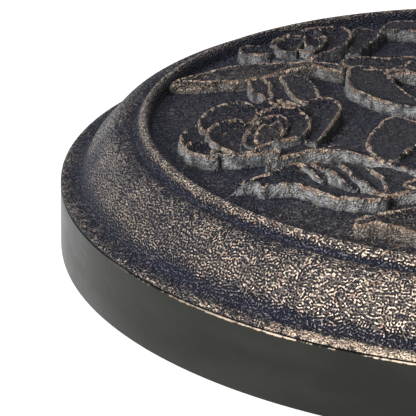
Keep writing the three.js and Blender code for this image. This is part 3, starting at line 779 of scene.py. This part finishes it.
def lobe(shape, outline, middle, turn, rim=0.35, gild=1.0, brush=0.12, rough=0.0, veins=0, vein_h=0.0):
    """One petal or leaf: a closed shell whose top falls from a raised rim to the middle line, on steep walls.
    The rim's and the veins' heights are in millimetres. Gild, brush and rough say how much gold it wears."""
    ring, out, spine = lobe_lines(outline, middle, turn)
    count = len(ring)
    # Each rim point is tied to the nearest point of the middle line, evened out round the rim.
    far = np.linalg.norm(ring[:, None, :2] - spine[None, :, :2], axis=2)
    tie = far.argmin(1).astype(float)
    for _ in range(6):
        tie = (np.roll(tie, 1) + tie + np.roll(tie, -1)) / 3
    rows = wall_rows(ring, out) + top_rows(ring, along_line(spine, tie), tie, rim, veins, vein_h)
    points, gilds, walls = zip(*rows)
    n = len(rows)
    faces = grid_faces(n, count) + [tuple(range(count))[::-1]]
    # The last row closes on the middle line's own points.
    knot = np.rint(tie / (SPINE - 1) * (KNOTS - 1)).astype(int)
    for c in range(count):
        a, b = knot[c], knot[(c + 1) % count]
        step = 1 if b <= a else -1
        back = [n * count + k for k in range(b, a + step, step)]
        faces.append(((n - 1) * count + c, (n - 1) * count + (c + 1) % count, *back))
    knots = along_line(spine, np.linspace(0, SPINE - 1, KNOTS))
    plain = np.zeros(KNOTS)
    # Low edges are gilded less than high ones.
    high = np.clip((ring[:, 2] - FIELD_Z) / RELIEF_H * 1.6 - 0.3, 0, 1)
    gild_mark = np.concatenate([mark * gild * high for mark in gilds] + [plain])
    # The grey is strongest on the walls that face the front left: painted light from that side.
    facing_light = np.clip(0.74 + 0.55 * (out @ (-0.85, -0.53)), 0.15, 1)
    lit_wall_mark = np.concatenate([mark * facing_light for mark in walls] + [plain])
    edge_mark = np.concatenate([np.repeat(gilds, count), plain])
    shape.add(
        np.vstack([*points, knots]),
        faces,
        gild=gild_mark,
        wall=lit_wall_mark,
        lump=1.0,
        brush=brush * (1 - lit_wall_mark) + 0.6 * rough * (lit_wall_mark + edge_mark),
    )


# ---- Base ----
# The relief is cast three times round the disc, turned by these angles.
REPEATS = (0.0, math.radians(132), math.radians(237))


def cover_profile():
    """(radius, height, brush) over the lip, cove, sloping shoulder, groove and bead, to the sunk field."""
    r = DISC_R
    lip = [
        (r - 0.05 * MM, LIP_Z - 0.3 * MM, 0.0),
        (r - 0.05 * MM, LIP_Z - 0.1 * MM, 0.4),
        (r - 0.4 * MM, LIP_Z + 0.35 * MM, 0.85),
        (r - 1.2 * MM, LIP_Z + 0.75 * MM, 0.8),
    ]
    # The rest as shares of the radius, with the height taken from the pan's edge.
    rings = (
        (0.988, 0.15, 0.7), (0.978, 0.1505, 0.55), (0.97, 0.1505, 0.32), (0.962, 0.152, 0.2),
        (0.9555, 0.1565, 0.16), (0.95, 0.165, 0.22), (0.9455, 0.175, 0.42), (0.9405, 0.186, 0.68),
        (0.932, 0.197, 0.8), (0.921, 0.21, 0.8), (0.91, 0.223, 0.84), (0.9005, 0.234, 0.84),
        (0.892, 0.2425, 0.84), (0.883, 0.248, 0.8), (0.873, 0.2512, 0.76), (0.863, 0.2525, 0.7),
        (0.856, 0.252, 0.55), (0.849, 0.2508, 0.15), (0.843, 0.2525, 0.08), (0.838, 0.259, 0.4),
        (0.834, 0.267, 1.1), (0.829, 0.2732, 1.35), (0.8235, 0.2752, 1.35), (0.818, 0.2728, 1.1),
        (0.8135, 0.2655, 0.6), (0.8105, 0.256, 0.15), (0.8075, 0.2475, 0.08), (0.803, 0.2434, 0.1),
    )
    curve = [lip[-1]] + [(x * r, PAN_Z + z * r, b) for x, z, b in rings] + [(0.795 * r, FIELD_Z, 0.15)]
    return lip[:-1] + [tuple(p) for p in spline(curve, 96, False)]


def build_cover(finish):
    """The moulded shell with its screw bosses, the relief on it, and its middle with the bolts' holes."""
    around, field_rows = 720, 20
    hub_r = 41 * MM
    skirt_in = DISC_R - 4.3 * MM
    ledge_in = skirt_in - 3.5 * MM
    ledge_z = SEAM_Z - 6 * MM
    top = cover_profile()
    edge_r = top[-1][0]
    top += [(edge_r + (hub_r - edge_r) * k / field_rows, FIELD_Z, 0.3) for k in range(1, field_rows + 1)]
    under = (
        (hub_r, FIELD_Z - WALL), (174 * MM, FIELD_Z - WALL), (184 * MM, FIELD_Z + 1 * MM),
        (198 * MM, FIELD_Z - 1 * MM), (211 * MM, LIP_Z + 2 * MM), (ledge_in, LIP_Z - 2 * MM),
        (ledge_in, ledge_z), (skirt_in, ledge_z), (skirt_in, SEAM_Z + 0.2 * MM),
        (DISC_R - 1.5 * MM, SEAM_Z + 0.2 * MM), (DISC_R - 1.3 * MM, LIP_Z - 0.45 * MM),
    )
    rows = top + [(r, z, 0.0) for r, z in under]
    # The lip's gold, broad a few rows in from its edge: partly a painted highlight.
    lip_gild_and_highlight = [0.5, 0.9, 1.2, 1.3, 1.3, 1.2, 1.1, 1.0, 0.8, 0.6, 0.4]
    shell = Shape()
    turned(shell, rows, around, gild=np.repeat(lip_gild_and_highlight + [0.0] * (len(rows) - len(lip_gild_and_highlight)), around))
    # Bosses that take the screws of the pan.
    screw_r, boss_r = 2.3 * MM, 5.5 * MM
    low, high = CORE_LOW.z, FIELD_Z - 10 * MM
    for x, y in places("pan_screw", PAN_SCREWS):
        turned(shell, [(screw_r, low), (boss_r, low), (boss_r, high), (screw_r, high)], 32, (x, y, 0))
    for k, turn in enumerate(REPEATS):
        extra = (FAR_LEAVES if k == 0 else []) + (NEAR_LEAVES if k < 2 else [])
        relief = Shape()
        for outline, middle, options in LEAVES + ROSE_B + extra + ROSE_A:
            lobe(relief, outline, middle, turn, **options)
        make_piece(f"relief_{k + 1}", relief, finish, "base", ["relief_cover"])
    hub = Shape()
    rod(hub, hub_r, FIELD_Z - WALL, FIELD_Z, 96)
    holes = Shape()
    for x, y in places("flange_bolt", BOLTS):
        rod(holes, 4.5 * MM, FIELD_Z - 2 * WALL, FIELD_Z + WALL, 32, (x, y, 0))
    make_piece("cover", shell, finish, "base", ["relief_cover"])
    hub_mesh = carve(hub.mesh("cover_hub"), holes)
    make_piece("cover_hub", hub_mesh, finish, "base", ["relief_cover"])


def build_pan(finish):
    """The plain side band and the floor under the weight, with two shallow rings in its underside."""
    floor_z = PAN_Z + 3 * MM
    inner_r = DISC_R - WALL
    profile = [(0, PAN_Z, 0)]
    for r in (60, 150):
        for step, depth in ((0, 0), (0.6, 0.8), (4.4, 0.8), (5, 0)):
            profile.append(((r + step) * MM, PAN_Z + depth * MM, 0))
    profile += [
        (DISC_R - 0.6 * MM, PAN_Z, 0), (DISC_R - 0.15 * MM, PAN_Z + 0.15 * MM, 0),
        (DISC_R, PAN_Z + 0.6 * MM, 0), (DISC_R, PAN_Z + 12 * MM, 0), (DISC_R, PAN_Z + 22 * MM, 0),
        (DISC_R, SEAM_Z - 2.5 * MM, 0), (DISC_R, SEAM_Z - 1 * MM, 0.4), (DISC_R, SEAM_Z - 0.35 * MM, 1),
        (DISC_R - 0.3 * MM, SEAM_Z, 1), (DISC_R - 1.5 * MM, SEAM_Z, 0.2), (inner_r, SEAM_Z, 0),
        (inner_r, floor_z, 0), (0, floor_z, 0),
    ]
    pan = Shape()
    turned(pan, profile, 480)
    holes = Shape()
    for prefix, count, radius in (("pan_screw", PAN_SCREWS, 2.5 * MM), ("rubber_foot", FEET, 3.4 * MM)):
        for x, y in places(prefix, count):
            rod(holes, radius, 0, floor_z + WALL, 24, (x, y, 0))
    make_piece("pan", carve(pan.mesh("pan"), holes), finish, "base", ["base_pan"])


def build_collar(bronze):
    """The domed ring over the flange. Its profile's radii and heights are in millimetres."""
    r = COLLAR_HIGH.x / MM
    mouth_r = 22.35
    skin_r = r - 1.8
    bell = [
        (r, 0, 0.3), (r, 0.6, 0.7), (r, 2.4, 0.7), (r - 0.9, 3.2, 0.1), (r - 0.9, 4.4, 0.1), (r, 5.2, 0.6),
        (r, 10, 0.7), (r - 0.4, 12.6, 0.8), (40.9, 15.4, 0.8), (38.6, 17.9, 0.7), (35.4, 19.6, 0.5),
        (31.8, 20.8, 0.3), (28.6, 21.9, 0.3), (26.2, 23.4, 0.5), (25.1, 25.2, 0.8), (24.8, 26.5, 0.9),
        (24, 27, 0.7), (mouth_r, 27, 0.2),
    ]
    inside = [(mouth_r, 20.6, 0), (33, 18.4, 0), (38.4, 15.4, 0), (skin_r, 11.5, 0), (skin_r, 0, 0)]
    collar = Shape()
    turned(collar, [(p * MM, COLLAR_LOW.z + h * MM, b) for p, h, b in bell + inside], 192)
    make_piece("collar", collar, bronze, "base", ["collar_cover"])


def build_tube(paint):
    """The socket tube, chamfered at its ends, with the hole for the clamp's pad."""
    outer = TUBE_HIGH.x
    bore = outer - 2 * MM
    low, high = TUBE_LOW.z, TUBE_HIGH.z
    chamfer = 0.4 * MM
    levels = np.linspace(low + 2 * MM, high - 2 * MM, 40)
    tube = Shape()
    turned(
        tube,
        [(bore, low), (outer - chamfer, low), (outer, low + chamfer)]
        + [(outer, h) for h in levels]
        + [(outer, high - chamfer), (outer - chamfer, high), (bore + chamfer, high), (bore, high - chamfer)]
        + [(bore, h) for h in levels[::-1]],
        128,
    )
    hole = Shape()
    rod(hole, 5.6 * MM, 15 * MM, 30 * MM, 48, (0, 0, CLAMP_Z), "x")
    make_piece("tube", carve(tube.mesh("tube"), hole), paint, "base", ["socket_tube"])


def build_rim_cap(plastic):
    """The ring over the tube's sawn end: a skirt outside the tube and a lip over it."""
    skirt_in, outer, mouth = 22.3 * MM, 24.6 * MM, 20 * MM
    lip_z = CAP_HIGH.z - 2.7 * MM
    profile = [
        (skirt_in, CAP_LOW.z), (outer, CAP_LOW.z), (outer, CAP_HIGH.z - 1.2 * MM),
        (outer - 1 * MM, CAP_HIGH.z), (mouth, CAP_HIGH.z), (mouth, lip_z), (skirt_in, lip_z),
    ]
    cap = Shape()
    turned(cap, rounded(profile, 0.6 * MM), 128)
    make_piece("rim_cap", cap, plastic, "base", ["tube_rim_cap"])


def build_bush(plastic):
    """The reducer bush: a sleeve in the tube under a collar that sits on its cap."""
    bore, sleeve_r, collar_r = 16.4 * MM, 19.6 * MM, 23.4 * MM
    seat = BUSH_HIGH.z - 3 * MM
    profile = [
        (bore, BUSH_LOW.z), (sleeve_r - 1 * MM, BUSH_LOW.z), (sleeve_r, BUSH_LOW.z + 2 * MM),
        (sleeve_r, seat - 1 * MM), (sleeve_r, seat), (collar_r, seat), (collar_r, seat + 2 * MM),
        (collar_r - 1 * MM, BUSH_HIGH.z), (bore + 0.8 * MM, BUSH_HIGH.z), (bore, BUSH_HIGH.z - 0.8 * MM),
    ]
    bush = Shape()
    turned(bush, rounded(profile, 0.5 * MM), 128)
    slots = Shape()

    def cut_slots(count, first, reach, radius, low, high, segments):
        for k in range(count):
            angle = (k + first) * TAU / count
            spot = (reach * math.cos(angle), reach * math.sin(angle), 0)
            rod(slots, radius, low, high, segments, spot)

    # Flutes down the sleeve, and grips on the collar's edge.
    cut_slots(8, 0, 19.9 * MM, 1.1 * MM, BUSH_LOW.z - 1 * MM, seat - 6 * MM, 16)
    cut_slots(24, 0.5, 23.75 * MM, 0.8 * MM, seat - 0.5 * MM, BUSH_HIGH.z + 1 * MM, 12)
    make_piece("bush", carve(bush.mesh("bush"), slots), plastic, "bush", ["reducer_bush"])


def threaded(shape, radius, pitch, depth, low, high, segments, centre=(0, 0, 0), along="z"):
    """Adds a rod with a real helical thread between low and high, and flat chamfered ends."""
    # One V-shaped groove to a turn, with a narrow flat floor.
    step = pitch / 8
    levels = np.arange(low, high + step / 2, step)
    angle = np.arange(segments) / segments * TAU
    phase = (levels[:, None] / pitch - angle / TAU) % 1.0
    notch = np.clip(1.25 - 2.5 * np.abs(phase - 0.5), 0, 1)
    taper = np.clip(np.minimum(levels - low, high - levels) / (0.6 * pitch), 0, 1)[:, None]
    radii = np.minimum(radius - depth * notch, radius - depth * (1 - taper))
    ring = np.stack([radii * np.cos(angle), radii * np.sin(angle), levels[:, None] + 0 * angle], -1)
    points = np.vstack([ring.reshape(-1, 3), [(0, 0, low), (0, 0, high)]])
    if along == "x":
        points = points[:, [2, 0, 1]]
    faces = grid_faces(len(levels), segments) + end_faces(len(levels), segments)
    shape.add(points + np.asarray(centre), faces)


def knob_profile():
    """(radius, place along the stud, wave height) of the six-lobed knob, from its bore round to its cap."""
    face, back = KNOB_LOW.x, KNOB_HIGH.x
    head = back - 13 * MM
    bore_r, bore_end = 5.3 * MM, STUD_HIGH.x + 0.3 * MM
    neck_r, head_r, wave = 9.5 * MM, 18.6 * MM, 2.4 * MM
    fillet, steps = 3.2 * MM, 8
    rows = [
        (0, bore_end, 0), (bore_r, bore_end, 0), (bore_r, face, 0), (neck_r - 0.6 * MM, face, 0),
        (neck_r, face + 0.6 * MM, 0), (neck_r, head - 1.4 * MM, 0), (10.2 * MM, head - 0.3 * MM, 0.1 * MM),
        (12.5 * MM, head, 0.8 * MM),
    ]
    # The head's rounded edges, front and back. The waves fade towards both faces.
    middle_r = head_r - fillet
    turns = [k / steps * math.pi / 2 for k in range(steps + 1)]
    quarter = [(math.sin(turn), math.cos(turn)) for turn in turns]
    for sin, cos in quarter:
        rows.append((middle_r + fillet * sin, head + fillet * (1 - cos), wave * (0.6 + 0.4 * sin)))
    for sin, cos in quarter[1:]:
        rows.append((middle_r + fillet * cos, back - fillet + fillet * sin, wave * (0.6 + 0.4 * cos)))
    # A shallow dish in the cap.
    rows += [(11.6 * MM, back, 0.5 * MM), (10.6 * MM, back - 0.3 * MM, 0), (10 * MM, back - 1.1 * MM, 0)]
    return rows + [(9.2 * MM, back - 1.4 * MM, 0), (5 * MM, back - 1.25 * MM, 0), (0, back - 1.2 * MM, 0)]


def build_clamp(paint, zinc, plastic, nylon):
    """The boss on the tube, and the screw through it with its pad and knob, all along x."""
    axis = (0, 0, CLAMP_Z)
    foot, end = 20 * MM, BOSS_HIGH.x
    boss_r, chamfer = 9.5 * MM, 0.8 * MM
    boss = Shape()
    profile = [(0, foot), (boss_r, foot), (boss_r, foot + 4 * MM), (boss_r, end - chamfer)]
    profile += [(boss_r - chamfer, end), (0, end)]
    turned(boss, profile, 64, axis, "x")
    # The boss's foot is cut to the tube, and its bore clears the stud.
    cutters = Shape()
    rod(cutters, 22.3 * MM, CLAMP_Z - 20 * MM, CLAMP_Z + 20 * MM, 128)
    rod(cutters, 5.3 * MM, 0, end + 5 * MM, 48, axis, "x")
    make_piece("boss", carve(boss.mesh("boss"), cutters), paint, "base", ["clamp_boss"])

    pad_r, bevel = 4.4 * MM, 0.8 * MM
    low, high = PAD_LOW.x, PAD_HIGH.x
    profile = [(0, low), (pad_r - bevel, low), (pad_r, low + bevel), (pad_r, high), (0, high)]
    pad = Shape()
    turned(pad, rounded(profile, 0.35 * MM), 48, axis, "x")
    make_piece("pad", pad, nylon, "clamp_pad", ["pressure_pad"])

    stud = Shape()
    threaded(stud, 5 * MM, 1.5 * MM, 0.85 * MM, STUD_LOW.x, STUD_HIGH.x, 64, axis, "x")
    make_piece("stud", stud, zinc, "clamp_knob", ["clamp_stud"])

    knob = Shape()
    turned(knob, knob_profile(), 180, axis, "x", lobes=6)
    make_piece("knob", knob, plastic, "clamp_knob", ["knob_head"])


def build_feet(rubber):
    """Push-in feet: a ringed tread, and a stem with a barb over the pan's floor."""
    stem_r = 3 * MM
    top = PAN_Z - 0.3 * MM
    # The tread's raised and sunk rings, in millimetres.
    tread = (
        (0, 0.9), (3, 0.9), (3.4, 0), (6, 0), (6.4, 0.9), (8, 0.9), (8.4, 0), (11, 0), (11.4, 0.9), (12, 0.9),
        (12.3, 0),
    )
    for i, (x, y) in enumerate(places("rubber_foot", FEET)):
        low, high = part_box(f"rubber_foot_{i + 1}")
        r = (high.x - low.x) / 2
        rows = [(p * MM, h * MM) for p, h in tread]
        rows += [
            (r - 1 * MM, 0), (r - 0.25 * MM, 0.35 * MM), (r, 1.2 * MM), (r, top - 0.3 * MM),
            (r - 0.3 * MM, top), (stem_r, top), (stem_r, CORE_LOW.z), (4.4 * MM, CORE_LOW.z + 0.1 * MM),
            (stem_r, high.z - 0.4 * MM), (0, high.z),
        ]
        foot = Shape()
        turned(foot, rows, 64, (x, y, 0))
        make_piece(f"foot_{i + 1}", foot, rubber, "base", [f"rubber_foot_{i + 1}"])


def cross_slot(arm, half, low, high, centre):
    """A cross to carve a screw's slot with: its arms reach this far, and each is twice half wide."""
    plus = [(arm, -half), (arm, half), (half, half)]
    for _ in range(3):
        plus += [(-y, x) for x, y in plus[-3:]]
    n = len(plus)
    sides = [(k, (k + 1) % n, n + (k + 1) % n, n + k) for k in range(n)]
    shape = Shape()
    shape.add(
        np.asarray([(x, y, z) for z in (low, high) for x, y in plus]) + centre,
        [tuple(range(n))[::-1], tuple(range(n, 2 * n)), *sides],
    )
    return shape


def build_pan_screws(zinc):
    """Screws up through the pan: a domed head with a cross slot, and a coarse thread."""
    top = PAN_Z - 0.3 * MM
    for i, (x, y) in enumerate(places("pan_screw", PAN_SCREWS)):
        low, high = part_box(f"pan_screw_{i + 1}")
        dome = ((0, 0), (2.2, 0.1), (3.3, 0.5), (3.85, 1.2), (4, 1.8))
        rows = [(p * MM, low.z + h * MM) for p, h in dome] + [(4 * MM, top), (0, top)]
        head = Shape()
        turned(head, rows, 48, (x, y, 0))
        slot = cross_slot(2.2 * MM, 0.45 * MM, low.z - 1 * MM, low.z + 1.2 * MM, (x, y, 0))
        screw = Shape()
        threaded(screw, 2 * MM, 1.2 * MM, 0.45 * MM, top, high.z, 32, (x, y, 0))
        nodes = [f"pan_screw_{i + 1}"]
        make_piece(f"screw_head_{i + 1}", carve(head.mesh("head"), slot), zinc, "base", nodes)
        make_piece(f"screw_thread_{i + 1}", screw, zinc, "base", nodes)


def finish_nodes(finishes):
    """Gives the CAD nodes that are kept, the ones hidden inside the base, their materials."""
    for prefix, (material, slot) in finishes.items():
        for name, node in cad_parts.items():
            if name.startswith(prefix):
                node.data.materials.clear()
                node.data.materials.append(material)


make_camera()
make_light()
make_floor()

bronze = wrinkle_bronze()
paint = grainy("tube_paint", (0.028, 0.027, 0.031), (0.014, 0.014, 0.018), 0.4, 0.9 * MM, 0.12 * MM)
zinc = grainy("zinc_plate", (0.62, 0.63, 0.64), (0.45, 0.46, 0.48), 0.3, 0.5 * MM, 0.02 * MM, metallic=1.0)
plastic = grainy("black_plastic", (0.02, 0.02, 0.021), (0.012, 0.012, 0.013), 0.46, 0.5 * MM, 0.05 * MM)
nylon = grainy("nylon", (0.72, 0.69, 0.60), (0.62, 0.59, 0.51), 0.5, 0.6 * MM, 0.03 * MM)
rubber = grainy("rubber", (0.02, 0.02, 0.02), (0.011, 0.011, 0.011), 0.82, 0.4 * MM, 0.06 * MM, specular=0.3)
concrete = grainy("concrete", (0.36, 0.345, 0.32), (0.2, 0.19, 0.175), 0.92, 2.4 * MM, 0.6 * MM, specular=0.2)

build_cover(bronze)
build_pan(satin_band())
build_collar(bronze)
build_tube(paint)
build_rim_cap(plastic)
build_bush(plastic)
build_clamp(paint, zinc, plastic, nylon)
build_feet(rubber)
build_pan_screws(zinc)
finish_nodes(
    {"weight_core": (concrete, "concrete"), "tube_flange": (paint, "tube_paint"), "flange_": (zinc, "zinc")}
)
